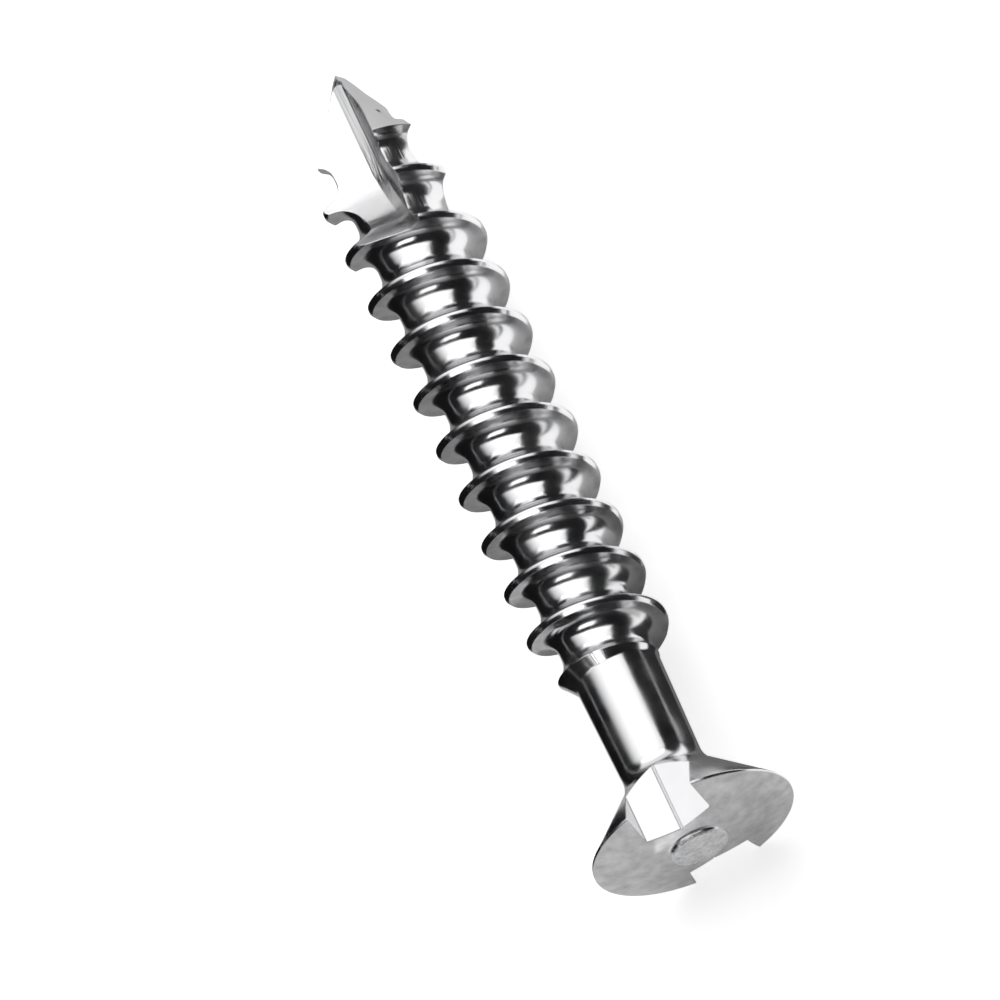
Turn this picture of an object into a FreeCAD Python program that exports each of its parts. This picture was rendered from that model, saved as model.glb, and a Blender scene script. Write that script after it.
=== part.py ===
import FreeCAD, Part
import math
import os

import Sketcher

# Osteotomy screw: one turned and ground piece of surgical steel.
# The screw axis is the body's own Z, with the sharp tip at zero and the
# head at the far end. The two drive notches face the body's +Y and -Y.
# The body is then laid down on the floor the way the loose screw rests.

# The thread in the photo winds to the left.
LEFT_HAND_THREAD = True

# Driving sizes, in millimetres and degrees.
DRIVING = [
    ("thread_d", 2.40, "outside diameter of the thread"),
    ("core_d", 1.55, "core diameter under the thread"),
    ("thread_pitch", 1.00, "distance from crest to crest"),
    ("thread_offset", 0.80, "height of a crest on the body's +X side"),
    ("crest_land", 0.09, "flat on top of the crest"),
    ("crest_ease", 0.07, "length of the eased crest edge that faces the head"),
    ("crest_drop", 0.04, "depth of that eased edge"),
    ("lead_flank", 27.0, "lean of the flank that faces the tip"),
    ("back_flank", 6.5, "lean of the flank that faces the head"),
    ("lead_share", 0.41, "share of the groove bottom rounded on the tip side"),
    ("back_share", 0.33, "share of the groove bottom bevelled on the head side"),
    ("tip_angle", 64.8, "full angle of the pointed tip"),
    ("rim_z", 15.82, "tip to rim of the head"),
    ("plain_length", 3.34, "rim down to the end of the thread"),
    ("runout_length", 0.56, "length over which the thread fades out"),
    ("neck_low_d", 1.54, "plain neck diameter next to the thread"),
    ("neck_high_d", 1.45, "plain neck diameter below the head"),
    ("neck_round", 0.55, "rounding between neck and head cone"),
    ("head_d", 3.72, "head diameter"),
    ("head_cone", 90.0, "full angle of the countersunk head"),
    ("rim_land", 0.05, "height of the plain rim above the cone"),
    ("dome_rise", 0.25, "rise of the domed head face"),
    ("boss_d", 1.07, "diameter of the round centre boss"),
    ("boss_rise", 0.32, "boss top above the rim"),
    ("boss_edge", 0.03, "chamfer around the boss top"),
    ("notch_width", 1.26, "width of each drive notch"),
    ("web_width", 1.88, "metal left between the two notches"),
    ("notch_dip", 0.12, "depth of the shallow vee in that wall"),
    ("notch_depth", 1.20, "depth of a notch below the rim"),
    ("flute_count", 3, "cutting flutes around the tip"),
    ("flute_turn", -10.0, "turn of the first flute about the axis"),
    ("flute_lean", 22.0, "lean of the flute wall"),
    ("flute_side_width", 0.147, "flute corner beside the axis"),
    ("flute_floor_height", 0.13, "flute floor in front of the axis"),
    ("flute_length", 1.35, "straight run of the flute floor"),
    ("flute_wheel_r", 3.34, "radius of the grinding wheel's way out"),
    ("rest_turn", 11.24, "turn from straight down to the tooth that touches the floor"),
]

# Sizes worked out from the driving ones.
DERIVED = [
    ("zero", "0"),
    ("crest_r", "thread_d / 2"),
    ("core_r", "core_d / 2"),
    ("groove_start", "thread_offset - thread_pitch"),
    ("groove_low", "groove_start + crest_land / 2"),
    ("groove_high", "groove_low + thread_pitch - crest_land"),
    ("over_height", "crest_land / 4"),
    ("over_r", "crest_r + over_height"),
    ("over_low", "groove_low - over_height * crest_ease / crest_drop"),
    ("over_high", "groove_high + over_height * tan(lead_flank)"),
    ("ease_r", "crest_r - crest_drop"),
    ("ease_low", "groove_low + crest_ease"),
    ("root_low", "ease_low + (ease_r - core_r) * tan(back_flank)"),
    ("root_high", "groove_high - (crest_r - core_r) * tan(lead_flank)"),
    ("root_width", "root_high - root_low"),
    ("bevel_width", "back_share * root_width"),
    ("bevel_r", "core_r + bevel_width * cos(back_flank)"),
    ("bevel_low", "root_low - bevel_width * sin(back_flank)"),
    ("bevel_high", "root_low + bevel_width"),
    ("lead_round", "lead_share * root_width / tan(45 - lead_flank / 2)"),
    ("cone_top_z", "crest_r / tan(tip_angle / 2)"),
    ("runout_top", "rim_z - plain_length"),
    ("runout_foot", "runout_top - runout_length"),
    ("groove_height", "runout_top - groove_start + thread_pitch / 20"),
    ("neck_low_r", "neck_low_d / 2"),
    ("neck_high_r", "neck_high_d / 2"),
    ("head_r", "head_d / 2"),
    ("rim_foot", "rim_z - rim_land"),
    ("cone_foot", "rim_foot - (head_r - neck_high_r) / tan(head_cone / 2)"),
    ("boss_r", "boss_d / 2"),
    ("boss_top", "rim_z + boss_rise"),
    ("boss_edge_z", "boss_top - boss_edge"),
    ("boss_edge_r", "boss_r - boss_edge"),
    ("dome_r", "(head_r ^ 2 + dome_rise ^ 2) / (2 * dome_rise)"),
    ("dome_z", "rim_z + dome_rise - dome_r"),
    ("boss_foot", "dome_z + sqrt(dome_r ^ 2 - boss_r ^ 2)"),
    ("notch_half", "notch_width / 2"),
    ("notch_left", "-notch_half"),
    ("notch_reach", "web_width / 2"),
    ("notch_deep", "notch_reach - notch_dip"),
    ("notch_out", "head_r * 1.2"),
    ("notch_foot", "rim_z - notch_depth"),
    ("flute_start", "-thread_pitch"),
    ("flute_out", "flute_wheel_r * 1.1"),
    ("flute_end", "flute_length + flute_wheel_r"),
    ("rim_drop", "sqrt(head_r ^ 2 - notch_half ^ 2)"),
    ("rest_crest", "thread_offset + (1.25 - rest_turn / 360) * thread_pitch - crest_land / 2"),
    ("rest_tilt", "atan((rim_drop - crest_r * cos(rest_turn)) / (rim_foot - rest_crest))"),
    ("rest_z", "rim_drop * cos(rest_tilt) - rim_foot * sin(rest_tilt)"),
    ("rest_length", "boss_top * cos(rest_tilt) + boss_edge_r * sin(rest_tilt)"),
]


def make_sizes(doc):
    """Put every size into one sheet, each under its own name."""
    sheet = doc.addObject("Spreadsheet::Sheet", "Sizes")
    rows = [(name, str(value), note) for name, value, note in DRIVING]
    rows += [(name, "=" + formula, "worked out") for name, formula in DERIVED]
    for row, (name, content, note) in enumerate(rows, start=1):
        sheet.set("A%d" % row, name)
        sheet.set("B%d" % row, content)
        sheet.set("C%d" % row, note)
        sheet.setAlias("B%d" % row, name)
    doc.recompute()
    return sheet


def size(doc, name):
    """The present value of one size in the sheet."""
    return float(doc.Sizes.get(name))


def origin_item(body, role):
    """The plane or axis of the body's origin that has this role."""
    return next(item for item in body.Origin.OriginFeatures if item.Role == role)


def new_sketch(body, name, plane, offset=None):
    """A sketch on an origin plane, moved by an optional placement formula."""
    sketch = body.newObject("Sketcher::SketchObject", name)
    sketch.AttachmentSupport = [(origin_item(body, plane), "")]
    sketch.MapMode = "FlatFace"
    if offset:
        sketch.setExpression("AttachmentOffset", offset)
    body.Document.recompute()
    return sketch


def pin(sketch, kind, item, end, name, doc):
    """Tie one coordinate of a sketch point to a named size."""
    index = sketch.addConstraint(Sketcher.Constraint(kind, item, end, size(doc, name)))
    sketch.setExpression("Constraints[%d]" % index, "Sizes." + name)


def round_cut(before, corner, after, radius):
    """Where a rounding of this radius meets the two edges at a corner."""
    back = (before - corner).normalize()
    ahead = (after - corner).normalize()
    half = math.acos(max(-1.0, min(1.0, back.dot(ahead)))) / 2
    reach = radius / math.tan(half)
    depth = radius / math.sin(half) - radius
    inner = corner + (back + ahead).normalize() * depth
    return corner + back * reach, inner, corner + ahead * reach


def draw_outline(sketch, corners, bow=None):
    """Draw a closed outline through corners that are given by size names.

    A corner is (x, y) or (x, y, rounding radius). The edge that leaves the
    corner numbered bow[0] is an arc about the centre (bow[1], bow[2]).
    """
    doc = sketch.Document
    points = [FreeCAD.Vector(size(doc, c[0]), size(doc, c[1]), 0) for c in corners]
    count = len(corners)
    starts, ends, rounds = list(points), list(points), {}
    for i, corner in enumerate(corners):
        if len(corner) == 3:
            radius = size(doc, corner[2])
            arc = round_cut(points[i - 1], points[i], points[(i + 1) % count], radius)
            ends[i], starts[i] = arc[0], arc[2]
            rounds[i] = sketch.addGeometry(Part.Arc(*arc), False)
    edges = []
    for i in range(count):
        first, last = starts[i], ends[(i + 1) % count]
        if bow and bow[0] == i:
            centre = FreeCAD.Vector(size(doc, bow[1]), size(doc, bow[2]), 0)
            out = ((first + last) * 0.5 - centre).normalize() * (first - centre).Length
            edges.append(sketch.addGeometry(Part.Arc(first, centre + out, last), False))
        else:
            edges.append(sketch.addGeometry(Part.LineSegment(first, last), False))
    for i, corner in enumerate(corners):
        before, after = edges[i - 1], edges[i]
        tail = far_end(sketch, before, ends[i])
        head = far_end(sketch, after, starts[i])
        if i in rounds:
            arc = rounds[i]
            mark = sketch.addGeometry(Part.Point(points[i]), True)
            for edge in (before, after):
                sketch.addConstraint(Sketcher.Constraint("PointOnObject", mark, 1, edge))
            arc_tail = far_end(sketch, arc, ends[i])
            arc_head = far_end(sketch, arc, starts[i])
            sketch.addConstraint(Sketcher.Constraint("Tangent", before, tail, arc, arc_tail))
            sketch.addConstraint(Sketcher.Constraint("Tangent", after, head, arc, arc_head))
            radius = sketch.addConstraint(Sketcher.Constraint("Radius", arc, size(doc, corner[2])))
            sketch.setExpression("Constraints[%d]" % radius, "Sizes." + corner[2])
            pin(sketch, "DistanceX", mark, 1, corner[0], doc)
            pin(sketch, "DistanceY", mark, 1, corner[1], doc)
        else:
            sketch.addConstraint(Sketcher.Constraint("Coincident", before, tail, after, head))
            pin(sketch, "DistanceX", after, head, corner[0], doc)
            if not (bow and (bow[0] + 1) % count == i):
                pin(sketch, "DistanceY", after, head, corner[1], doc)
    if bow:
        pin(sketch, "DistanceX", edges[bow[0]], 3, bow[1], doc)
        pin(sketch, "DistanceY", edges[bow[0]], 3, bow[2], doc)
    doc.recompute()


def far_end(sketch, item, point):
    """Number of the end of a sketch line or arc that lies at a point."""
    first = sketch.getPoint(item, 1)
    last = sketch.getPoint(item, 2)
    return 1 if (first - point).Length < (last - point).Length else 2


def turn_blank(body):
    """Turn the plain form: tip, thread cylinder, neck, cone, dome, boss."""
    sketch = new_sketch(body, "BlankOutline", "XZ_Plane")
    corners = [
        ("zero", "zero"),
        ("crest_r", "cone_top_z"),
        ("crest_r", "runout_foot"),
        ("neck_low_r", "runout_top"),
        ("neck_high_r", "cone_foot", "neck_round"),
        ("head_r", "rim_foot"),
        ("head_r", "rim_z"),
        ("boss_r", "boss_foot"),
        ("boss_r", "boss_edge_z"),
        ("boss_edge_r", "boss_top"),
        ("zero", "boss_top"),
    ]
    draw_outline(sketch, corners, bow=(6, "zero", "dome_z"))
    blank = body.newObject("PartDesign::Revolution", "TurnedBlank")
    blank.Profile = sketch
    blank.ReferenceAxis = (sketch, ["V_Axis"])
    blank.Angle = 360
    body.Document.recompute()
    return blank


def cut_thread(body):
    """Wind the thread groove from below the tip up to the plain neck."""
    sketch = new_sketch(body, "GrooveOutline", "XZ_Plane")
    corners = [
        ("over_r", "over_low"),
        ("ease_r", "ease_low"),
        ("bevel_r", "bevel_low"),
        ("core_r", "bevel_high"),
        ("core_r", "root_high", "lead_round"),
        ("over_r", "over_high"),
    ]
    draw_outline(sketch, corners)
    groove = body.newObject("PartDesign::SubtractiveHelix", "ThreadGroove")
    groove.Profile = sketch
    groove.ReferenceAxis = (sketch, ["V_Axis"])
    groove.Mode = "pitch-height-angle"
    groove.LeftHanded = LEFT_HAND_THREAD
    groove.setExpression("Pitch", "Sizes.thread_pitch")
    groove.setExpression("Height", "Sizes.groove_height")
    body.Document.recompute()
    return groove


def repeat(body, feature, name, count):
    """Repeat a feature evenly around the screw axis."""
    pattern = body.newObject("PartDesign::PolarPattern", name)
    pattern.Originals = [feature]
    pattern.Axis = (origin_item(body, "Z_Axis"), [""])
    pattern.Angle = 360
    if isinstance(count, str):
        pattern.setExpression("Occurrences", "Sizes." + count)
    else:
        pattern.Occurrences = count
    body.Tip = pattern
    body.Document.recompute()
    return pattern


def cut_notches(body):
    """Cut the two opposite drive notches through the rim of the head."""
    sketch = new_sketch(body, "NotchOutline", "XY_Plane")
    sketch.setExpression("AttachmentOffset.Base.z", "Sizes.notch_foot")
    body.Document.recompute()
    corners = [
        ("notch_left", "notch_reach"),
        ("zero", "notch_deep"),
        ("notch_half", "notch_reach"),
        ("notch_half", "notch_out"),
        ("notch_left", "notch_out"),
    ]
    draw_outline(sketch, corners)
    notch = body.newObject("PartDesign::Pocket", "DriveNotch")
    notch.Profile = sketch
    notch.Type = "Length"
    notch.Reversed = True
    notch.setExpression("Length", "Sizes.notch_depth * 2")
    body.Document.recompute()
    return repeat(body, notch, "DriveNotches", 2)


def cut_flutes(body):
    """Grind the cutting flutes into the tip.

    The sketch lies in the flute wall, with its up axis along the screw. The
    floor runs level from the tip and then leaves along the wheel's rim.
    """
    place = (
        "placement(vector(0; 0; 0); rotationz(Sizes.flute_turn))"
        " * placement(vector(-Sizes.flute_side_width; Sizes.flute_floor_height; 0);"
        " rotationx(90) * rotationy(90 - Sizes.flute_lean))"
    )
    sketch = new_sketch(body, "FluteOutline", "XY_Plane", place)
    corners = [
        ("zero", "flute_start"),
        ("zero", "flute_end", "flute_wheel_r"),
        ("flute_out", "flute_end"),
        ("flute_out", "flute_start"),
    ]
    draw_outline(sketch, corners)
    flute = body.newObject("PartDesign::Pocket", "CuttingFlute")
    flute.Profile = sketch
    flute.Type = "Length"
    flute.UseCustomVector = True
    flute.setExpression("Direction.x", "-cos(Sizes.flute_turn)")
    flute.setExpression("Direction.y", "-sin(Sizes.flute_turn)")
    flute.setExpression("Direction.z", "0")
    flute.setExpression("Length", "Sizes.thread_d * 2")
    body.Document.recompute()
    return repeat(body, flute, "CuttingFlutes", "flute_count")


def lay_down(body):
    """Rest the screw on its head rim and the thread near the tip."""
    body.setExpression(
        "Placement",
        "placement(vector(-Sizes.rest_length / 2; 0; Sizes.rest_z);"
        " rotationy(-Sizes.rest_tilt) * rotation(vector(1; 1; 1); 120))",
    )
    body.Document.recompute()


def check_and_write(doc, body):
    """Stop on any faulty object, then write the finished screw."""
    for item in doc.Objects:
        if "Invalid" in item.State or "Error" in item.State:
            raise RuntimeError("%s is faulty: %s" % (item.Label, item.State))
    shape = body.Shape
    if not shape.isValid() or len(shape.Solids) != 1:
        raise RuntimeError("the screw is not one sound solid")
    os.makedirs("parts", exist_ok=True)
    shape.exportStep("parts/%s.step" % body.Label)


def main():
    doc = FreeCAD.newDocument("OsteotomyScrew")
    make_sizes(doc)
    body = doc.addObject("PartDesign::Body", "Screw")
    body.Label = "screw"
    turn_blank(body)
    cut_flutes(body)
    cut_thread(body)
    cut_notches(body)
    lay_down(body)
    check_and_write(doc, body)
    print("screw volume in cubic millimetres:", round(body.Shape.Volume, 3))


main()
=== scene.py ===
import math
from collections import namedtuple

import bmesh
import bpy
from bpy.props import FloatProperty, FloatVectorProperty, IntProperty, PointerProperty
from bpy.types import Operator, Panel, PropertyGroup
from mathutils import Matrix, Vector


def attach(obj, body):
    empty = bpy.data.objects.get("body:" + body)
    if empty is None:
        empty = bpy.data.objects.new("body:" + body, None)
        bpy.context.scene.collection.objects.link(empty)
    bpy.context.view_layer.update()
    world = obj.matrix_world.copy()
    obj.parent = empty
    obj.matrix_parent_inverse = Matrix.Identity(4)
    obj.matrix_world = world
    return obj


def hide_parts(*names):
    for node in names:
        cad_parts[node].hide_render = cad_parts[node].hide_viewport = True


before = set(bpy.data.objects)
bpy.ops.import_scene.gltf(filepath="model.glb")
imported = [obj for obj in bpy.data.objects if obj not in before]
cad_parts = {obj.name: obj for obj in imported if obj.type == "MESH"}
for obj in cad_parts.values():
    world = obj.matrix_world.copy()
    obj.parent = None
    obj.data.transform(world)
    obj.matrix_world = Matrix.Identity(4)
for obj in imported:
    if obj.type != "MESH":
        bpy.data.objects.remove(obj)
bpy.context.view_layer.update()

bl_info = {
    "name": "Osteotomy Screw",
    "version": (1, 0, 0),
    "blender": (4, 5, 0),
    "location": "View3D > Sidebar > Screw",
    "description": "Builds a polished bone screw with a left hand thread, its finish and its studio",
    "category": "Object",
}

MM = 0.001
SHARP_ANGLE = math.radians(25)
GrooveSide = namedtuple("GrooveSide", "land eased top_r arc_at centre radius lean sign")


def length(name, value, note):
    """A size property, written in millimetres and kept in metres."""
    return FloatProperty(name=name, description=note, default=value * MM, unit="LENGTH", precision=5)


def angle(name, value, note):
    """An angle property, written in degrees and kept in radians."""
    return FloatProperty(name=name, description=note, default=math.radians(value), subtype="ANGLE")


def share(name, value, note):
    """A plain number between nothing and one."""
    return FloatProperty(name=name, description=note, default=value, min=0.0, max=1.0, subtype="FACTOR")


def watts(name, value, note):
    """A lamp's power."""
    return FloatProperty(name=name, description=note, default=value, min=0.0, unit="POWER")


def tint(name, value, note):
    """A colour property."""
    return FloatVectorProperty(
        name=name, description=note, default=value, size=3, min=0.0, max=1.0, subtype="COLOR"
    )


def plain(name, value, note):
    """A number without a unit."""
    return FloatProperty(name=name, description=note, default=value)


def whole(name, value, least, note):
    """A whole number."""
    return IntProperty(name=name, description=note, default=value, min=least)


class ScrewSizes(PropertyGroup):
    """Every size of the screw, its lie on the floor and its turn in the photograph"""

    thread_d: length("Thread diameter", 2.40, "Outside diameter of the thread")
    core_d: length("Core diameter", 1.55, "Diameter under the thread")
    thread_pitch: length("Pitch", 1.00, "Distance from crest to crest")
    thread_offset: length("Thread offset", 0.78, "Height of a crest on the side of the screw's own X")
    crest_land: length("Crest land", 0.05, "Flat on top of the crest")
    crest_ease: length("Crest ease", 0.07, "Length of the eased crest edge that faces the head")
    crest_drop: length("Crest drop", 0.045, "Depth of that eased edge")
    lead_flank: angle("Leading flank", 27.0, "Lean of the flank that faces the tip")
    back_flank: angle("Back flank", 6.5, "Lean of the flank that faces the head")
    lead_round: length("Leading root rounding", 0.39, "Root rounding below the leaning flank")
    back_round: length("Back root rounding", 0.30, "Root rounding below the steep flank")
    tip_angle: angle("Tip angle", 64.8, "Full angle of the pointed tip")
    tip_blunt: length("Tip bluntness", 0.05, "How far the end of the tip stands out of the sharp cone")
    tip_blunt_turn: angle("Tip blunt side", 10.0, "Side of the tip that is blunt")
    tip_blunt_run: length("Tip blunt length", 0.62, "Height over which the bluntness fades out")
    tip_dull: length("Tip dullness", 0.018, "Bluntness all around the end of the tip")
    tip_start: length("Tip start", 0.12, "Height over which the dull end opens")
    rim_z: length("Rim height", 15.82, "Tip to rim of the head")
    plain_length: length("Plain length", 3.34, "Rim down to the end of the thread")
    runout_length: length("Run-out length", 0.56, "Length over which the thread fades out")
    neck_low_d: length("Lower neck diameter", 1.54, "Plain neck next to the thread")
    neck_high_d: length("Upper neck diameter", 1.45, "Plain neck below the head")
    neck_round: length("Neck rounding", 0.55, "Rounding between neck and head cone")
    head_d: length("Head diameter", 3.72, "Diameter of the head")
    head_cone: angle("Head cone", 90.0, "Full angle of the countersunk head")
    rim_land: length("Rim land", 0.05, "Height of the plain rim above the cone")
    dome_rise: length("Dome rise", 0.25, "Rise of the domed head face")
    boss_d: length("Boss diameter", 1.07, "Diameter of the round centre boss")
    boss_rise: length("Boss rise", 0.32, "Boss top above the rim")
    boss_round: length("Boss rounding", 0.06, "Rounding around the boss top")
    notch_width: length("Notch width", 1.26, "Width of each drive notch")
    web_width: length("Web width", 1.88, "Metal left between the two notches")
    notch_dip: length("Notch dip", 0.12, "Depth of the shallow vee in the notch wall")
    notch_depth: length("Notch depth", 1.20, "Depth of a notch below the rim")
    valley_half: length("Notch valley half width", 0.025, "Half the width of the relief in the valley")
    valley_depth: length("Notch valley depth", 0.04, "Depth of the relief in the valley")
    flute_count: whole("Flutes", 3, 1, "Cutting flutes around the tip")
    flute_turn: angle("Flute turn", -10.0, "Turn of the first flute about the axis")
    flute_wheel_r: length("Flute wheel", 3.6, "Radius of the wheel that grinds a flute")
    flute_run: length("Flute run", 1.35, "Straight run of the flute floor from the tip")
    flute_floor: length("Flute floor", 0.13, "Flute floor in front of the axis along the straight run")
    flute_side_x: length("Flute corner", 0.147, "Flute corner beside the axis")
    flute_bevel_x: length("Flute bevel width", 0.177, "Width of the bevel between floor and wall")
    flute_bevel_y: length("Flute bevel height", 0.094, "Height of the bevel between floor and wall")
    flute_wall_x: length("Flute wall width", 0.135, "Width over which the hollow wall leans")
    flute_wall_y: length("Flute wall height", 0.52, "Height over which the hollow wall leans")
    flute_drift: share("Flute drift", 0.12, "Sideways drift of the wheel on its way out")
    flute_drift_from: length("Flute drift start", 2.0, "Height at which the wheel starts to drift")
    flute_drift_ease: length("Flute drift ease", 0.25, "Length over which the drift sets in")
    flute_stray: angle("Flute stray", -7.5, "Turn of the last flute off its even place")
    start_lag: length("Start lag", 0.06, "How far the first turns of the thread sit toward the head")
    start_fade: length("Start fade", 1.0, "Height of the tip over which the lag is full")
    start_end: length("Start end", 3.3, "Height at which the lag is gone")
    rest_turn: angle("Rest turn", 11.24, "Turn from straight down to the tooth that touches the floor")
    view_turn: angle("View turn", 10.0, "Turn of the screw about its axis in the photograph")
    steps_round: whole("Steps around", 120, 24, "Mesh columns around the screw")


class ScrewFinish(PropertyGroup):
    """The look of the polished steel"""

    steel: tint("Steel", (0.79, 0.79, 0.80), "Colour of the polished steel")
    shine_rough: share("Polish roughness", 0.17, "Roughness of the polished surfaces")
    shine_spread: share("Polish variation", 0.06, "How much the roughness varies")
    face_mottle: share("Face mottling", 0.9, "Patchiness of the steel on the head's face")
    edge_round: length("Edge rounding", 0.03, "Rounding seen on the ground and milled edges")
    fine_grain: share("Fine grain", 0.5, "Strength of the fine grain everywhere")
    waviness: share("Waviness", 0.2, "Strength of the slow waves of the polish")
    flute_lines: share("Flute lines", 0.6, "Strength of the grinding lines along the flutes")
    boss_grain: share("Boss grain", 0.7, "Strength of the grain on the centre boss")
    boss_rough: share("Boss roughness", 0.22, "Roughness that the centre boss has on top")
    # Painted shade: darkens the colour of the thread flanks that face the tip, standing in for the dark
    # reflections in the grooves.
    flank_dull: share("Dull flanks", 0.35, "Brightness of the thread flanks that face the tip")
    flank_rough: share("Flank roughness", 0.2, "Roughness that those flanks have on top")


class StudioLook(PropertyGroup):
    """Floor, cards, lamps and the photograph's view"""

    floor: tint("Floor", (0.86, 0.86, 0.86), "Colour of the plain floor")
    room: tint("Room", (0.012, 0.012, 0.013), "What the polished steel sees past the lamps")
    floor_lift: share("Floor lift", 0.70, "Own light of the floor toward the camera")
    side_lift: share("Side card light", 0.62, "Own light of the pale card beside the thread")
    under_card: tint("Card under the neck", (0.40, 0.40, 0.40), "Colour of the grey card under the neck")
    neck_card: tint("Card beside the neck", (0.045, 0.045, 0.046), "Colour of the dark card beside the neck")
    dark_card: tint("Dark card", (0.010, 0.010, 0.011), "Colour of the black cards beside the screw")
    grey_card: tint("Grey card", (0.62, 0.62, 0.62), "Colour of the grey card below the head")
    pale_card: tint("Pale card", (0.92, 0.92, 0.92), "Colour of the small pale card before the head")
    side_card: tint("Side card", (0.45, 0.45, 0.45), "Colour of the grey card beside the thread")
    grey_glow: share("Grey card light", 0.21, "Own light of the grey card before the head")
    pale_glow: share("Pale card light", 0.55, "Own light of the small pale card")
    cone_glow: share("Cone card light", 0.60, "Own light of the grey card beside the head cone")
    softbox_light: watts("Softbox light", 0.35, "Power of the large softbox overhead")
    softbox_spread: angle("Softbox spread", 133.0, "Angle into which the softbox shines")
    strip_light: watts("Strip light", 0.032, "Power of the narrow softbox over the head")
    end_light: watts("End light", 0.028, "Power of the softbox beyond the tip")
    px_per_mm: plain("Picture scale", 58.6, "Picture points per millimetre")
    view_foreshorten: plain("View along the axis", 0.4275, "Cosine between the view and the screw axis")
    view_lean: angle("View lean", 25.327287, "Lean of the screw across the picture")
    picture_size: plain("Picture size", 1000.0, "Width and height of the picture in points")
    tip_right: plain("Tip across", 335.0, "Picture points from the left edge to the tip")
    tip_down: plain("Tip down", 76.0, "Picture points from the top edge to the tip")



def millimetres(group):
    """All sizes of a group as plain numbers, lengths in millimetres and angles in radians."""
    values = {}
    for item in group.bl_rna.properties:
        if item.identifier in ("rna_type", "name"):
            continue
        value = getattr(group, item.identifier)
        values[item.identifier] = value / MM if item.unit == "LENGTH" else value
    return values


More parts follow.
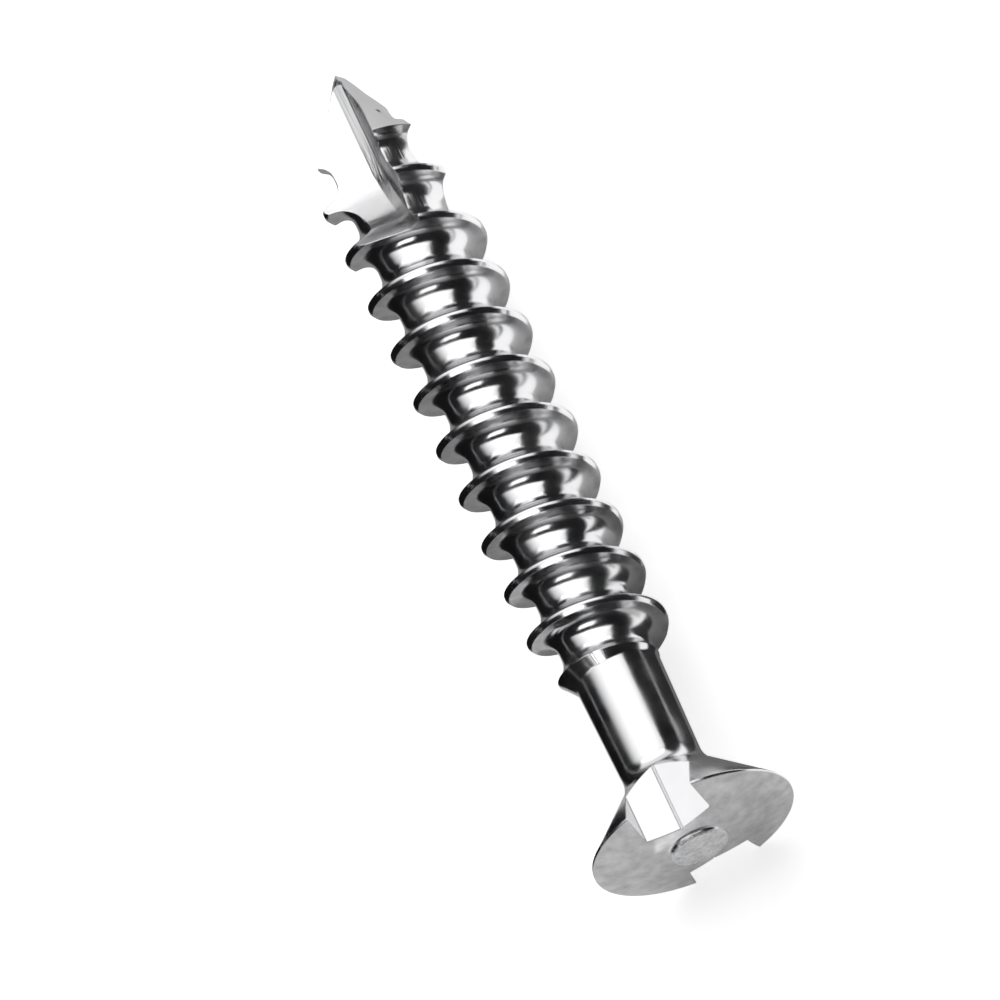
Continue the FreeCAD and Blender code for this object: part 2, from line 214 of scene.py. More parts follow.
class ScrewForm:
    """The screw's shape in its own frame: Z is the axis, the tip is at zero."""

    def __init__(self, sizes):
        self.__dict__.update(millimetres(sizes))
        self.crest_r = self.thread_d / 2
        self.core_r = self.core_d / 2
        self.half_tip = math.tan(self.tip_angle / 2)
        self.cone_top = self.crest_r / self.half_tip
        self.runout_top = self.rim_z - self.plain_length
        self.runout_foot = self.runout_top - self.runout_length
        self.head_r = self.head_d / 2
        self.rim_foot = self.rim_z - self.rim_land
        cone_width = self.head_r - self.neck_high_d / 2
        self.cone_foot = self.rim_foot - cone_width / math.tan(self.head_cone / 2)
        self.boss_r = self.boss_d / 2
        self.boss_top = self.rim_z + self.boss_rise
        self.dome_r = (self.head_r ** 2 + self.dome_rise ** 2) / (2 * self.dome_rise)
        self.dome_z = self.rim_z + self.dome_rise - self.dome_r
        self.groove_profile()
        self.resting_place()

    def resting_place(self):
        """Where the loose screw lies: on its head rim and on the thread near the tip."""
        rim_drop = math.sqrt(self.head_r ** 2 - (self.notch_width / 2) ** 2)
        turns = 1.25 - self.rest_turn / (2 * math.pi)
        rest_crest = self.thread_offset + turns * self.thread_pitch - self.crest_land / 2
        rest_drop = self.crest_r * math.cos(self.rest_turn)
        tilt = math.atan((rim_drop - rest_drop) / (self.rim_foot - rest_crest))
        edge_r = self.boss_r - self.boss_round
        self.rest_z = rim_drop * math.cos(tilt) - self.rim_foot * math.sin(tilt)
        self.rest_x = -(self.boss_top * math.cos(tilt) + edge_r * math.sin(tilt)) / 2
        self.axis = Vector((math.cos(tilt), 0, math.sin(tilt)))
        self.up = Vector((-math.sin(tilt), 0, math.cos(tilt)))
        self.side = Vector((0, 1, 0))

    def placement(self):
        """From the screw's own frame, in millimetres, to the floor, in metres."""
        turn = Matrix((self.side, self.up, self.axis)).transposed().to_4x4()
        move = Matrix.Translation(Vector((self.rest_x, 0, self.rest_z)))
        return Matrix.Scale(MM, 4) @ move @ turn

    def blank_radius(self, z):
        """Radius of the turned blank at a height below the neck."""
        if z <= self.cone_top:
            return max(z, 0.0) * self.half_tip
        if z <= self.runout_foot:
            return self.crest_r
        low = self.neck_low_d / 2
        if z <= self.runout_top:
            part = (z - self.runout_foot) / self.runout_length
            return self.crest_r + (low - self.crest_r) * part
        part = (z - self.runout_top) / (self.cone_foot - self.runout_top)
        return low + (self.neck_high_d / 2 - low) * part

    def tip_radius(self, z, theta):
        """Radius of the tip, whose very end is a little blunt on one side."""
        fade = max(0.0, 1 - z / self.tip_blunt_run)
        rise = min(1.0, z / self.tip_start)
        side = 0.5 + 0.5 * math.cos(theta - self.tip_blunt_turn)
        return z * self.half_tip + rise * fade * (self.tip_dull + self.tip_blunt * side ** 2)

    def settled(self, z):
        """Height of a point of the thread, with the lag of its first turns."""
        part = (z - self.start_fade) / (self.start_end - self.start_fade)
        part = min(max(part, 0.0), 1.0)
        return z + self.start_lag * (1 - part * part * (3 - 2 * part))

    def stock_radius(self, z):
        """Radius of the blank where a point of the thread ends up."""
        return self.blank_radius(self.settled(z))

    def groove_profile(self):
        """The groove between two crests: crest edge, flank and rounded root on each side."""
        half = self.crest_land / 2
        self.groove_sides = []
        for lean, radius, ease, drop, sign in (
            (self.back_flank, self.back_round, self.crest_ease, self.crest_drop, 1),
            (self.lead_flank, self.lead_round, 0.0, 0.0, -1),
        ):
            top_r = self.crest_r - drop
            arc_r = self.core_r + radius * (1 - math.sin(lean))
            arc_at = half + ease + (top_r - arc_r) * math.tan(lean)
            centre = arc_at + radius * math.cos(lean)
            side = GrooveSide(half, half + ease, top_r, arc_at, centre, radius, lean, sign)
            self.groove_sides.append(side)

    def side_radius(self, side, reach):
        """Radius of one side of the groove at a distance from the crest's middle."""
        if reach <= side.land:
            return self.crest_r
        if reach < side.eased:
            part = (reach - side.land) / (side.eased - side.land)
            return self.crest_r + (side.top_r - self.crest_r) * part
        if reach < side.arc_at:
            return side.top_r - (reach - side.eased) / math.tan(side.lean)
        if reach < side.centre:
            return self.core_r + side.radius - math.sqrt(side.radius ** 2 - (side.centre - reach) ** 2)
        return self.core_r

    def side_edge(self, side, crest_z):
        """Distance from the crest's middle at which one side of the groove leaves the blank."""
        if self.stock_radius(crest_z + side.sign * side.land) >= self.crest_r:
            return side.land
        if self.stock_radius(crest_z + side.sign * side.centre) <= self.core_r:
            return side.centre
        near, far = side.land, side.centre
        for _ in range(40):
            middle = (near + far) / 2
            if self.side_radius(side, middle) > self.stock_radius(crest_z + side.sign * middle):
                near = middle
            else:
                far = middle
        return (near + far) / 2

    def side_samples(self, side, crest_z):
        """Distances from the crest's middle at which one side of the groove is sampled."""
        edge = self.side_edge(side, crest_z)
        spots = [edge]
        if side.eased > side.land:
            spots += spread(max(edge, side.land), max(edge, side.eased), 3)[1:]
        spots += spread(max(edge, side.eased), max(edge, side.arc_at), 5)[1:]
        turn = math.pi / 2 - side.lean
        steps = 8
        for i in range(1, steps + 1):
            reach = side.centre - side.radius * math.sin(turn * (1 - i / steps))
            spots.append(max(edge, reach))
        least_step = 0.0015
        for i in range(1, len(spots)):
            spots[i] = max(spots[i], spots[i - 1] + least_step)
        return spots

    def turn_samples(self, crest_z):
        """One pitch of the thread from a crest upward: (height, radius) pairs."""
        back, lead = self.groove_sides
        up = self.side_samples(back, crest_z)
        down = self.side_samples(lead, crest_z + self.thread_pitch)
        samples = [(crest_z, min(self.crest_r, self.stock_radius(crest_z)))]
        for reach in up:
            z = crest_z + reach
            samples.append((z, min(self.side_radius(back, reach), self.stock_radius(z))))
        for reach in down[::-1]:
            z = crest_z + self.thread_pitch - reach
            samples.append((z, min(self.side_radius(lead, reach), self.stock_radius(z))))
        return [(self.settled(z), r) for z, r in samples]


def spread(first, last, count):
    """Evenly spaced numbers, both ends included."""
    return [first + (last - first) * i / (count - 1) for i in range(count)]


def fillet(before, corner, after, radius, count):
    """Points of a rounding between two straight edges of an outline."""
    before, corner, after = Vector(before), Vector(corner), Vector(after)
    back, ahead = (before - corner).normalized(), (after - corner).normalized()
    half = back.angle(ahead) / 2
    reach = radius / math.tan(half)
    centre = corner + (back + ahead).normalized() * radius / math.sin(half)
    first, last = corner + back * reach - centre, corner + ahead * reach - centre
    sweep = first.angle(last)
    points = []
    for i in range(count + 1):
        t = i / count
        mix = first * math.sin((1 - t) * sweep) + last * math.sin(t * sweep)
        points.append(tuple(centre + mix / math.sin(sweep)))
    return points


def head_outline(form, start_z):
    """Outline of the neck and head above the thread, as (radius, height) pairs."""
    neck = (form.neck_low_d / 2, form.runout_top)
    waist = (form.neck_high_d / 2, form.cone_foot)
    cone_end = (form.head_r, form.rim_foot)
    rim = (form.head_r, form.rim_z)
    inward = (form.head_r - 0.2, form.rim_z + 0.04)
    boss_foot = (form.boss_r, form.dome_z + math.sqrt(form.dome_r ** 2 - form.boss_r ** 2))
    boss_edge = (form.boss_r, form.boss_top)
    boss_centre = (0, form.boss_top)
    outward = (form.boss_r + 0.2, boss_foot[1])
    cone_round, rim_round, foot_round = 0.02, 0.015, 0.025

    points = [(form.blank_radius(start_z), start_z)]
    points += [(form.blank_radius(z), z) for z in spread(start_z + 0.05, waist[1] - 0.4, 8)]
    points += fillet(neck, waist, cone_end, form.neck_round, 12)
    points += fillet(waist, cone_end, rim, cone_round, 3)
    points += fillet(cone_end, rim, inward, rim_round, 3)
    for r in spread(form.head_r - 0.06, form.boss_r + 0.05, 12):
        points.append((r, form.dome_z + math.sqrt(form.dome_r ** 2 - r ** 2)))
    points += fillet(outward, boss_foot, boss_edge, foot_round, 3)
    points += fillet(boss_foot, boss_edge, boss_centre, form.boss_round, 5)
    points += [(form.boss_r * part, form.boss_top) for part in (0.6, 0.25)]
    return points


def wind_thread(form, columns):
    """Vertices and faces of the whole turned and threaded screw, before flutes and notches."""
    tip_end, neck_start, gap = 0.95, form.runout_top + 0.03, 1e-4
    per_turn = len(form.turn_samples(0.0))
    outline = head_outline(form, neck_start)
    points = [(0.0, 0.0, 0.0)]
    strips, tip_columns, head_columns = [], [], []
    for i in range(columns):
        theta = 2 * math.pi * i / columns
        c, s = math.cos(theta), math.sin(theta)
        strip = {}
        first = form.thread_offset - form.thread_pitch * i / columns
        turn = math.floor((tip_end - first) / form.thread_pitch) - 1
        while first + turn * form.thread_pitch < neck_start:
            for j, (z, r) in enumerate(form.turn_samples(first + turn * form.thread_pitch)):
                if tip_end + gap < z < neck_start - gap:
                    strip[turn * per_turn + j] = len(points)
                    points.append((r * c, r * s, z))
            turn += 1
        strips.append(strip)
        tip_column = []
        for z in spread(0.0, tip_end, 14)[1:]:
            r = form.tip_radius(z, theta)
            tip_column.append(len(points))
            points.append((r * c, r * s, z))
        tip_columns.append(tip_column)
        head_column = [tip_column[-1]]
        for r, z in outline:
            head_column.append(len(points))
            points.append((r * c, r * s, z))
        head_columns.append(head_column)
    top = len(points)
    points.append((0.0, 0.0, form.boss_top))
    faces = []
    for i in range(columns):
        j = (i + 1) % columns
        left, right = strips[i], strips[j]
        if j == 0:
            right = {key + per_turn: spot for key, spot in right.items()}
        a, b = tip_columns[i], tip_columns[j]
        faces.append((0, b[0], a[0]))
        faces += [(a[k], b[k], b[k + 1], a[k + 1]) for k in range(len(a) - 1)]
        a, b = head_columns[i], head_columns[j]
        faces += join_columns(left, right, a, b)
        faces += [(a[k], b[k], b[k + 1], a[k + 1]) for k in range(1, len(a) - 1)]
        faces.append((a[-1], b[-1], top))
    return points, faces


def join_columns(left, right, a, b):
    """Faces between two neighbouring columns whose rows run on along the thread."""
    shared = sorted(set(left) & set(right))
    faces = [(left[k], right[k], right[n], left[n]) for k, n in zip(shared, shared[1:])]
    for end, ring in ((0, 0), (-1, 1)):
        edge = shared[end]
        for side, near, far in ((left, a, b), (right, b, a)):
            if end == 0:
                extra = sorted(key for key in side if key <= edge)
            else:
                extra = sorted((key for key in side if key >= edge), reverse=True)
            spots = [near[ring]] + [side[key] for key in extra]
            if len(extra) > 1:
                fan = [(far[ring], spots[k], spots[k + 1]) for k in range(len(spots) - 1)]
                flip = (side is left) != (end == 0)
                faces += [face[::-1] if flip else face for face in fan]
                other = right if side is left else left
                last = (far[ring], side[edge], other[edge])
                faces.append(last[::-1] if flip else last)
                break
        else:
            quad = (a[ring], b[ring], right[edge], left[edge])
            faces.append(quad if end == 0 else quad[::-1])
    return faces


def new_mesh_object(name, points, faces, place=None):
    """A mesh object from plain vertices and faces."""
    mesh = bpy.data.meshes.new(name)
    mesh.from_pydata([tuple(p) for p in points], [], faces)
    if place:
        mesh.transform(place)
    thing = bpy.data.objects.new(name, mesh)
    bpy.context.scene.collection.objects.link(thing)
    return thing


def new_tool(name, points, faces, place=None):
    """A closed mesh whose faces all look outward, to cut with."""
    tool = new_mesh_object(name, points, faces, place)
    work = bmesh.new()
    work.from_mesh(tool.data)
    bmesh.ops.recalc_face_normals(work, faces=work.faces)
    work.to_mesh(tool.data)
    work.free()
    return tool


def flute_row(form, z):
    """The grinding wheel's outline at one height: floor, bevel, hollow wall and outside."""
    wheel, out = form.flute_wheel_r, form.thread_d
    rise = min(max(0.0, z - form.flute_run), wheel * 0.99)
    floor = form.flute_floor + wheel - math.sqrt(wheel ** 2 - rise ** 2)
    past = max(0.0, z - form.flute_drift_from)
    corner = form.flute_drift * past ** 2 / (past + form.flute_drift_ease) - form.flute_side_x
    row = [(-2 * out, floor), (corner, floor)]
    for t in spread(0.0, 1.0, 8):
        x = corner + form.flute_bevel_x + form.flute_wall_x * (1 - (1 - t) ** 2)
        row.append((x, floor + form.flute_bevel_y + form.flute_wall_y * t))
    row += [(row[-1][0], 2 * out), (-2 * out, 2 * out)]
    return [(x, y, z) for x, y in row]


def flute_cutters(form):
    """The grinding wheel's path, once for each flute."""
    rows = [flute_row(form, z) for z in spread(-0.4, 4.5, 40)]
    points = [point for row in rows for point in row]
    side, faces = len(rows[0]), []
    for i in range(len(rows) - 1):
        for j in range(side):
            k = (j + 1) % side
            faces.append((i * side + j, (i + 1) * side + j, (i + 1) * side + k, i * side + k))
    faces.append(tuple(range(side)))
    faces.append(tuple(range(len(points) - side, len(points)))[::-1])
    tools = []
    for i in range(form.flute_count):
        spot = form.flute_turn + 2 * math.pi * i / form.flute_count
        if i == form.flute_count - 1:
            spot += form.flute_stray
        tools.append(new_tool("flute_tool", points, faces, Matrix.Rotation(spot, 4, "Z")))
    return tools


def notch_cutters(form):
    """The two opposite side cuts through the rim of the head."""
    half, reach = form.notch_width / 2, form.web_width / 2
    nip = form.valley_half
    side = reach - form.notch_dip * (1 - nip / half)
    valley = [(-nip, side), (0, reach - form.notch_dip - form.valley_depth), (nip, side)]
    far = form.head_r * 1.2
    outline = [(-half, reach)] + valley + [(half, reach), (half, far), (-half, far)]
    low, high = form.rim_z - form.notch_depth, form.rim_z + form.notch_depth
    points = [(x, y, z) for z in (low, high) for x, y in outline]
    size = len(outline)
    faces = [tuple(range(size - 1, -1, -1)), tuple(range(size, 2 * size))]
    for i in range(size):
        j = (i + 1) % size
        faces.append((i, j, size + j, size + i))
    return [new_tool("notch_tool", points, faces, Matrix.Rotation(math.pi * i, 4, "Z")) for i in range(2)]


def cut_away(piece, tools):
    """Cut the tools out of the piece and clear them away."""
    for tool in tools:
        cut = piece.modifiers.new("Cut", "BOOLEAN")
        cut.operation = "DIFFERENCE"
        cut.solver = "EXACT"
        cut.object = tool
    view = bpy.context.evaluated_depsgraph_get()
    finished = bpy.data.meshes.new_from_object(piece.evaluated_get(view))
    old = piece.data
    piece.modifiers.clear()
    piece.data = finished
    bpy.data.meshes.remove(old)
    for tool in tools:
        mesh = tool.data
        bpy.data.objects.remove(tool)
        bpy.data.meshes.remove(mesh)


class SCREW_OT_build(Operator):
    """Turn, thread, flute and notch the screw, and lay it on the floor"""

    bl_idname = "screw.build"
    bl_label = "Make the screw"

    def execute(self, context):
        form = ScrewForm(context.scene.screw_sizes)
        points, faces = wind_thread(form, context.scene.screw_sizes.steps_round)
        piece = new_mesh_object("screw_polished", points, faces)
        cut_away(piece, flute_cutters(form) + notch_cutters(form))
        if len(piece.data.polygons) < 1000:
            raise RuntimeError("the cuts left no screw")
        piece.data.transform(form.placement())
        piece.data.validate()
        piece.data.shade_smooth()
        piece.data.set_sharp_from_angle(angle=SHARP_ANGLE)
        piece.data.materials.clear()
        piece.data.materials.append(polished_steel(context.scene.screw_finish, form))
        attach(piece, "root")
        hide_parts("screw")
        return {"FINISHED"}


class NodeDesk:
    """Small helper that lays out one material's nodes."""

    def __init__(self, name):
        self.made = bpy.data.materials.new(name)
        self.made.use_nodes = True
        self.nodes = self.made.node_tree.nodes
        self.links = self.made.node_tree.links
        self.shader = self.nodes["Principled BSDF"]

    def feed(self, socket, value):
        """Link a node's output into a socket, or write a plain value there."""
        if isinstance(value, bpy.types.NodeSocket):
            self.links.new(value, socket)
        else:
            socket.default_value = value

    def sums(self, operation, first, second):
        """A plain calculation with two numbers."""
        node = self.nodes.new("ShaderNodeMath")
        node.operation = operation
        self.feed(node.inputs[0], first)
        self.feed(node.inputs[1], second)
        return node.outputs["Value"]

    def vector(self, operation, first, second):
        """A calculation with two vectors; the result is a vector or a number."""
        node = self.nodes.new("ShaderNodeVectorMath")
        node.operation = operation
        self.feed(node.inputs[0], first)
        self.feed(node.inputs["Scale" if operation == "SCALE" else 1], second)
        return node.outputs["Value" if operation == "DOT_PRODUCT" else "Vector"]

    def ramp(self, value, low, high, to_low, to_high):
        """A number taken smoothly from one range into another."""
        node = self.nodes.new("ShaderNodeMapRange")
        node.interpolation_type = "SMOOTHSTEP"
        self.feed(node.inputs["Value"], value)
        ends = {"From Min": low, "From Max": high, "To Min": to_low, "To Max": to_high}
        for name, end in ends.items():
            node.inputs[name].default_value = end
        return node.outputs["Result"]

    def noise(self, where, scale, detail):
        """Soft random clouds."""
        node = self.nodes.new("ShaderNodeTexNoise")
        self.feed(node.inputs["Vector"], where)
        node.inputs["Scale"].default_value = scale
        node.inputs["Detail"].default_value = detail
        return node.outputs["Fac"]

    def bump(self, height, depth, strength, normal=None):
        """Fine relief; depth is in millimetres."""
        node = self.nodes.new("ShaderNodeBump")
        self.feed(node.inputs["Height"], height)
        self.feed(node.inputs["Strength"], strength)
        node.inputs["Distance"].default_value = depth * MM
        if normal:
            self.links.new(normal, node.inputs["Normal"])
        return node.outputs["Normal"]


def steel_zones(desk, form, height, facing):
    """Where the boss, the flutes, the flanks toward the tip and the head's face are, from 0 to 1."""
    near_tip = desk.ramp(height, 3.2, 3.5, 1.0, 0.0)
    level = desk.ramp(desk.sums("ABSOLUTE", facing, 0.0), 0.08, 0.3, 1.0, 0.0)
    toward_tip = desk.ramp(facing, -0.86, -0.72, 1.0, 0.0)
    threaded = desk.ramp(height, form.runout_top - 0.1, form.runout_top + 0.3, 1.0, 0.0)
    return {
        "boss": desk.ramp(height, form.boss_top - 0.06, form.boss_top - 0.02, 0.0, 1.0),
        "flute": desk.sums("MULTIPLY", near_tip, level),
        "flank": desk.sums("MULTIPLY", toward_tip, threaded),
        "face": desk.ramp(facing, 0.9, 0.97, 0.0, 1.0),
    }


def steel_shade(desk, finish, zones, cloud, pebbles, mottle):
    """Brightness of the steel: painted shade on the flanks toward the tip, a patchy face and a boss with a
    painted sheen and random speckle.
    """
    # Painted shade on the flanks that face the tip.
    flank_painted_darkening = desk.ramp(zones["flank"], 0.0, 1.0, 1.0, finish.flank_dull)
    face_shade = desk.sums("MULTIPLY", desk.sums("SUBTRACT", mottle, 0.5), finish.face_mottle)
    # Painted sheen: a fixed lift makes the boss lighter, standing in for light its rough top catches; the
    # pebble noise adds random speckle.
    boss_speckle_and_sheen = desk.sums("ADD", desk.ramp(pebbles, 0.35, 0.65, -0.1, 0.12), 0.22)
    shade = desk.sums("MULTIPLY", desk.ramp(cloud, 0.3, 0.7, 0.94, 1.0), flank_painted_darkening)
    shade = desk.sums("ADD", shade, desk.sums("MULTIPLY", zones["face"], face_shade))
    return desk.sums("ADD", shade, desk.sums("MULTIPLY", zones["boss"], boss_speckle_and_sheen))


def steel_roughness(desk, finish, zones, cloud):
    """Roughness of the steel: cloudy, and higher on the boss and the flanks toward the tip."""
    bright, dull = finish.shine_rough - finish.shine_spread / 2, finish.shine_rough + finish.shine_spread
    rough = desk.ramp(cloud, 0.35, 0.65, bright, dull)
    rough = desk.sums("ADD", rough, desk.sums("MULTIPLY", zones["boss"], finish.boss_rough))
    return desk.sums("ADD", rough, desk.sums("MULTIPLY", zones["flank"], finish.flank_rough))


def steel_relief(desk, finish, zones, grain, cloud, brushed, pebbles):
    """Relief of the steel: rounded edges, grain, slow waves, grinding lines and a rough boss."""
    soft_edge = desk.nodes.new("ShaderNodeBevel")
    soft_edge.samples = 4
    soft_edge.inputs["Radius"].default_value = finish.edge_round
    flute_lines = desk.sums("MULTIPLY", zones["flute"], finish.flute_lines)
    boss_grain = desk.sums("MULTIPLY", zones["boss"], finish.boss_grain)
    relief = desk.bump(grain, 0.0012, finish.fine_grain, soft_edge.outputs["Normal"])
    relief = desk.bump(cloud, 0.010, finish.waviness, relief)
    relief = desk.bump(brushed, 0.010, flute_lines, relief)
    return desk.bump(pebbles, 0.06, boss_grain, relief)


def polished_steel(finish, form):
    """Bright turned steel: brushed flutes, a grained boss with a painted sheen, and painted shade on the
    flanks toward the tip.
    """
    desk = NodeDesk("polished_implant_steel")
    coords = desk.nodes.new("ShaderNodeTexCoord").outputs["Object"]
    shape = desk.nodes.new("ShaderNodeNewGeometry").outputs["Normal"]
    tip = Vector((form.rest_x, 0, form.rest_z)) * MM
    spot = desk.vector("SCALE", desk.vector("SUBTRACT", coords, tip), 1 / MM)
    height = desk.vector("DOT_PRODUCT", spot, form.axis)
    facing = desk.vector("DOT_PRODUCT", shape, form.axis)
    squeeze = desk.vector("SCALE", form.axis, desk.sums("MULTIPLY", height, 0.97))
    lengthwise = desk.vector("SUBTRACT", spot, squeeze)

    cloud = desk.noise(spot, 1.7, 4.0)
    grain = desk.noise(spot, 26.0, 3.0)
    brushed = desk.noise(lengthwise, 17.0, 2.0)
    pebbles = desk.noise(spot, 11.0, 4.0)
    mottle = desk.noise(spot, 4.0, 6.0)

    zones = steel_zones(desk, form, height, facing)
    shade = steel_shade(desk, finish, zones, cloud, pebbles, mottle)
    inputs = desk.shader.inputs
    inputs["Metallic"].default_value = 1.0
    desk.feed(inputs["Base Color"], desk.vector("SCALE", Vector(finish.steel), shade))
    desk.feed(inputs["Roughness"], steel_roughness(desk, finish, zones, cloud))
    desk.feed(inputs["Normal"], steel_relief(desk, finish, zones, grain, cloud, brushed, pebbles))
    return desk.made


class SCREW_OT_stage(Operator):
    """Lay the floor, hang the lamps and set the camera"""

    bl_idname = "screw.stage"
    bl_label = "Make the studio"

    def execute(self, context):
        look = context.scene.studio_look
        form = ScrewForm(context.scene.screw_sizes)
        lay_floor(look)
        light_room(look)
        lay_cards(look, form)
        hang_lamps(look)
        set_camera(look, form)
        context.scene.view_settings.view_transform = "Standard"
        return {"FINISHED"}


def lay_floor(look):
    """A plain pale floor under the screw, which keeps its shadow."""
    span = 0.6
    corners = [(-span, -span, 0), (span, -span, 0), (span, span, 0), (-span, span, 0)]
    floor = new_mesh_object("floor", corners, [(0, 1, 2, 3)])
    made = bpy.data.materials.new("pale_floor")
    made.use_nodes = True
    nodes, links = made.node_tree.nodes, made.node_tree.links
    shader = nodes["Principled BSDF"]
    shader.inputs["Base Color"].default_value = (*look.floor, 1.0)
    shader.inputs["Roughness"].default_value = 0.9
    shader.inputs["Specular IOR Level"].default_value = 0.0
    path = nodes.new("ShaderNodeLightPath")
    lift = nodes.new("ShaderNodeMath")
    lift.operation = "MULTIPLY"
    lift.inputs[1].default_value = look.floor_lift
    links.new(path.outputs["Is Camera Ray"], lift.inputs[0])
    shader.inputs["Emission Color"].default_value = (1, 1, 1, 1)
    links.new(lift.outputs["Value"], shader.inputs["Emission Strength"])
    floor.data.materials.append(made)


def light_room(look):
    """The room: white for the camera, dim for everything else."""
    world = bpy.data.worlds.new("studio_room")
    bpy.context.scene.world = world
    world.use_nodes = True
    nodes, links = world.node_tree.nodes, world.node_tree.links
    back = nodes["Background"]
    path = nodes.new("ShaderNodeLightPath")
    mix = nodes.new("ShaderNodeMix")
    mix.data_type = "RGBA"
    mix.inputs["A"].default_value = (*look.room, 1.0)
    mix.inputs["B"].default_value = (1.0, 1.0, 1.0, 1.0)
    links.new(path.outputs["Is Camera Ray"], mix.inputs["Factor"])
    links.new(mix.outputs["Result"], back.inputs["Color"])


def lay_card(name, corners, colour, glow=0.0):
    """A card on the floor that only the polished steel sees."""
    card = new_mesh_object(name, [(x * MM, y * MM, z * MM) for x, y, z in corners], [(0, 1, 2, 3)])
    made = bpy.data.materials.new(name)
    made.use_nodes = True
    shader = made.node_tree.nodes["Principled BSDF"]
    shader.inputs["Base Color"].default_value = (*colour, 1.0)
    shader.inputs["Roughness"].default_value = 1.0
    shader.inputs["Specular IOR Level"].default_value = 0.0
    shader.inputs["Emission Color"].default_value = (1, 1, 1, 1)
    shader.inputs["Emission Strength"].default_value = glow
    card.data.materials.append(made)
    card.visible_camera = False
    card.visible_diffuse = False
    card.visible_shadow = False


def strip_card(name, left, right, near, far, height, *finish):
    """A rectangular card; left and right lie along the screw, near and far across it."""
    corners = [(left, near, height), (right, near, height), (right, far, height), (left, far, height)]
    lay_card(name, corners, *finish)


def lay_cards(look, form):
    """Cards around the screw, in millimetres; each sits a little over the one it covers."""
    head = -form.rest_x
    # Black on the left, for the dark side of the core and the neck.
    strip_card("card_left", -60, 60, -60, -1.95, 0.02, look.dark_card)
    # Pale on the right, for the bright side of the thread.
    pale = [(-8.5, 2.0), (60, 2.0), (60, 60), (-36, 60)]
    lay_card("card_right", [(x, y, 0.02) for x, y in pale], look.floor, look.side_lift)
    # Grey close to the thread, for its left flanks.
    strip_card("card_side", -60, 2.6, -1.95, -0.7, 0.02, look.side_card)
    # Dark and slanting, for the right side of the neck.
    slant = [(2.9, 1.8), (6.6, 1.8), (-184.9, 400), (-188.5, 400)]
    lay_card("card_neck", [(x, y, 0.04) for x, y in slant], look.neck_card)
    # Grey under the neck and under the cone of the head.
    strip_card("card_under", 2.6, 7.5, -1.45, 1.8, 0.03, look.under_card)
    strip_card("card_cone", 5.45, 7.5, -3.4, -1.1, 0.05, look.grey_card, look.cone_glow)
    # Grey before the head, with a small pale one, for the face of the head.
    near, far = head - 0.6, head + 60
    fan = [(near, -6), (far, -40), (far, 40), (near, 6)]
    lay_card("card_head", [(x, y, 0.06) for x, y in fan], look.grey_card, look.grey_glow)
    patch = [(1.3, -1.3), (1.9, -1.3), (2.9, -0.1), (2.1, -0.1)]
    lay_card("card_patch", [(head + x, y, 0.09) for x, y in patch], look.pale_card, look.pale_glow)


def hang_lamp(name, place, width, height, power, spread_angle, aim=None):
    """A rectangular softbox that shines straight down, or toward a point."""
    data = bpy.data.lights.new(name, "AREA")
    data.shape = "RECTANGLE"
    data.size, data.size_y = width, height
    data.energy = power
    data.spread = spread_angle
    thing = bpy.data.objects.new(name, data)
    bpy.context.scene.collection.objects.link(thing)
    thing.location = place
    if aim:
        thing.rotation_mode = "QUATERNION"
        thing.rotation_quaternion = (Vector(aim) - Vector(place)).to_track_quat("-Z", "Y")


def hang_lamps(look):
    """A large softbox overhead, a narrow one beside it and one beyond the tip, in metres."""
    over, strip, end = (-0.15, -0.1065, 0.10), (0.08, -0.0475, 0.10), (-0.0875, 0, 0.0485)
    hang_lamp("softbox", over, 0.30, 0.387, look.softbox_light, look.softbox_spread)
    hang_lamp("strip_softbox", strip, 0.06, 0.085, look.strip_light, math.pi)
    hang_lamp("end_softbox", end, 0.12, 0.078, look.end_light, math.pi, (0, 0, 0))


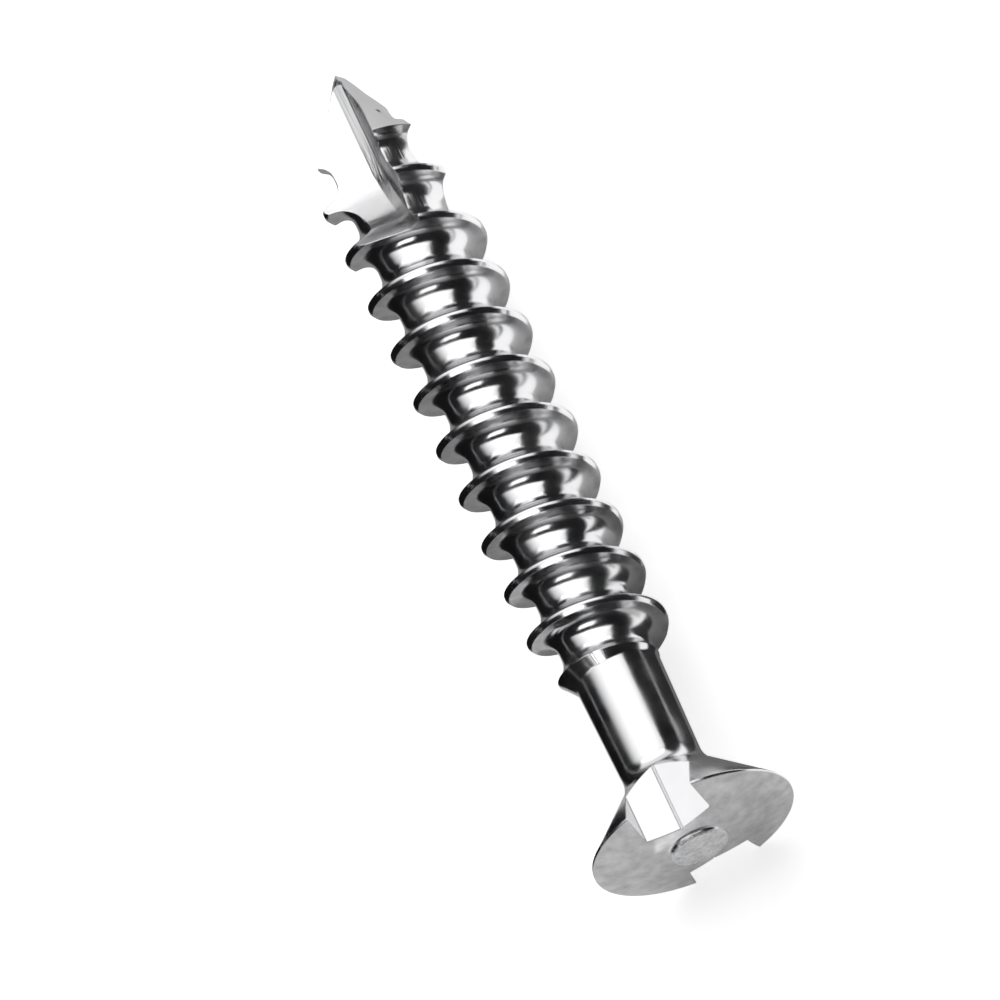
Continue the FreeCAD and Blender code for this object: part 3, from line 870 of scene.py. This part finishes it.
def view_axes(look, form):
    """The picture's right, up and towards-camera directions."""
    c = look.view_foreshorten
    s = math.sqrt(1 - c * c)
    turn, lean = form.view_turn, look.view_lean
    across = form.side * math.cos(turn) - form.up * math.sin(turn)
    toward = form.side * math.sin(turn) + form.up * math.cos(turn)
    back = form.axis * c + toward * s
    rise = -form.axis * s + toward * c
    right = across * math.cos(lean) - rise * math.sin(lean)
    up = across * math.sin(lean) + rise * math.cos(lean)
    return right, up, back


def set_camera(look, form):
    """The photograph's view: square on, without perspective."""
    right, up, back = view_axes(look, form)
    tip = Vector((form.rest_x, 0, form.rest_z))
    scale, middle = look.px_per_mm, look.picture_size / 2
    centre = tip + right * ((middle - look.tip_right) / scale) - up * ((middle - look.tip_down) / scale)
    data = bpy.data.cameras.new("camera")
    data.type = "ORTHO"
    data.ortho_scale = look.picture_size / scale * MM
    data.clip_start, data.clip_end = 0.001, 2.0
    thing = bpy.data.objects.new("camera", data)
    bpy.context.scene.collection.objects.link(thing)
    thing.rotation_mode = "QUATERNION"
    thing.rotation_quaternion = Matrix((right, up, back)).transposed().to_quaternion()
    thing.location = (centre + back * 60) * MM
    bpy.context.scene.camera = thing


class VIEW3D_PT_screw(Panel):
    """Sizes, finish and studio of the screw"""

    bl_label = "Osteotomy screw"
    bl_idname = "VIEW3D_PT_screw"
    bl_space_type = "VIEW_3D"
    bl_region_type = "UI"
    bl_category = "Screw"

    def draw(self, context):
        scene = context.scene
        for group in (scene.screw_sizes, scene.screw_finish, scene.studio_look):
            column = self.layout.column()
            for item in group.bl_rna.properties:
                if item.identifier not in ("rna_type", "name"):
                    column.prop(group, item.identifier)
        self.layout.operator("screw.build")
        self.layout.operator("screw.stage")


CLASSES = (ScrewSizes, ScrewFinish, StudioLook, SCREW_OT_build, SCREW_OT_stage, VIEW3D_PT_screw)


def register():
    for item in CLASSES:
        bpy.utils.register_class(item)
    bpy.types.Scene.screw_sizes = PointerProperty(type=ScrewSizes)
    bpy.types.Scene.screw_finish = PointerProperty(type=ScrewFinish)
    bpy.types.Scene.studio_look = PointerProperty(type=StudioLook)


def unregister():
    del bpy.types.Scene.studio_look
    del bpy.types.Scene.screw_finish
    del bpy.types.Scene.screw_sizes
    for item in reversed(CLASSES):
        bpy.utils.unregister_class(item)


def main():
    register()
    bpy.ops.screw.build()
    bpy.ops.screw.stage()


if __name__ == "__main__":
    main()
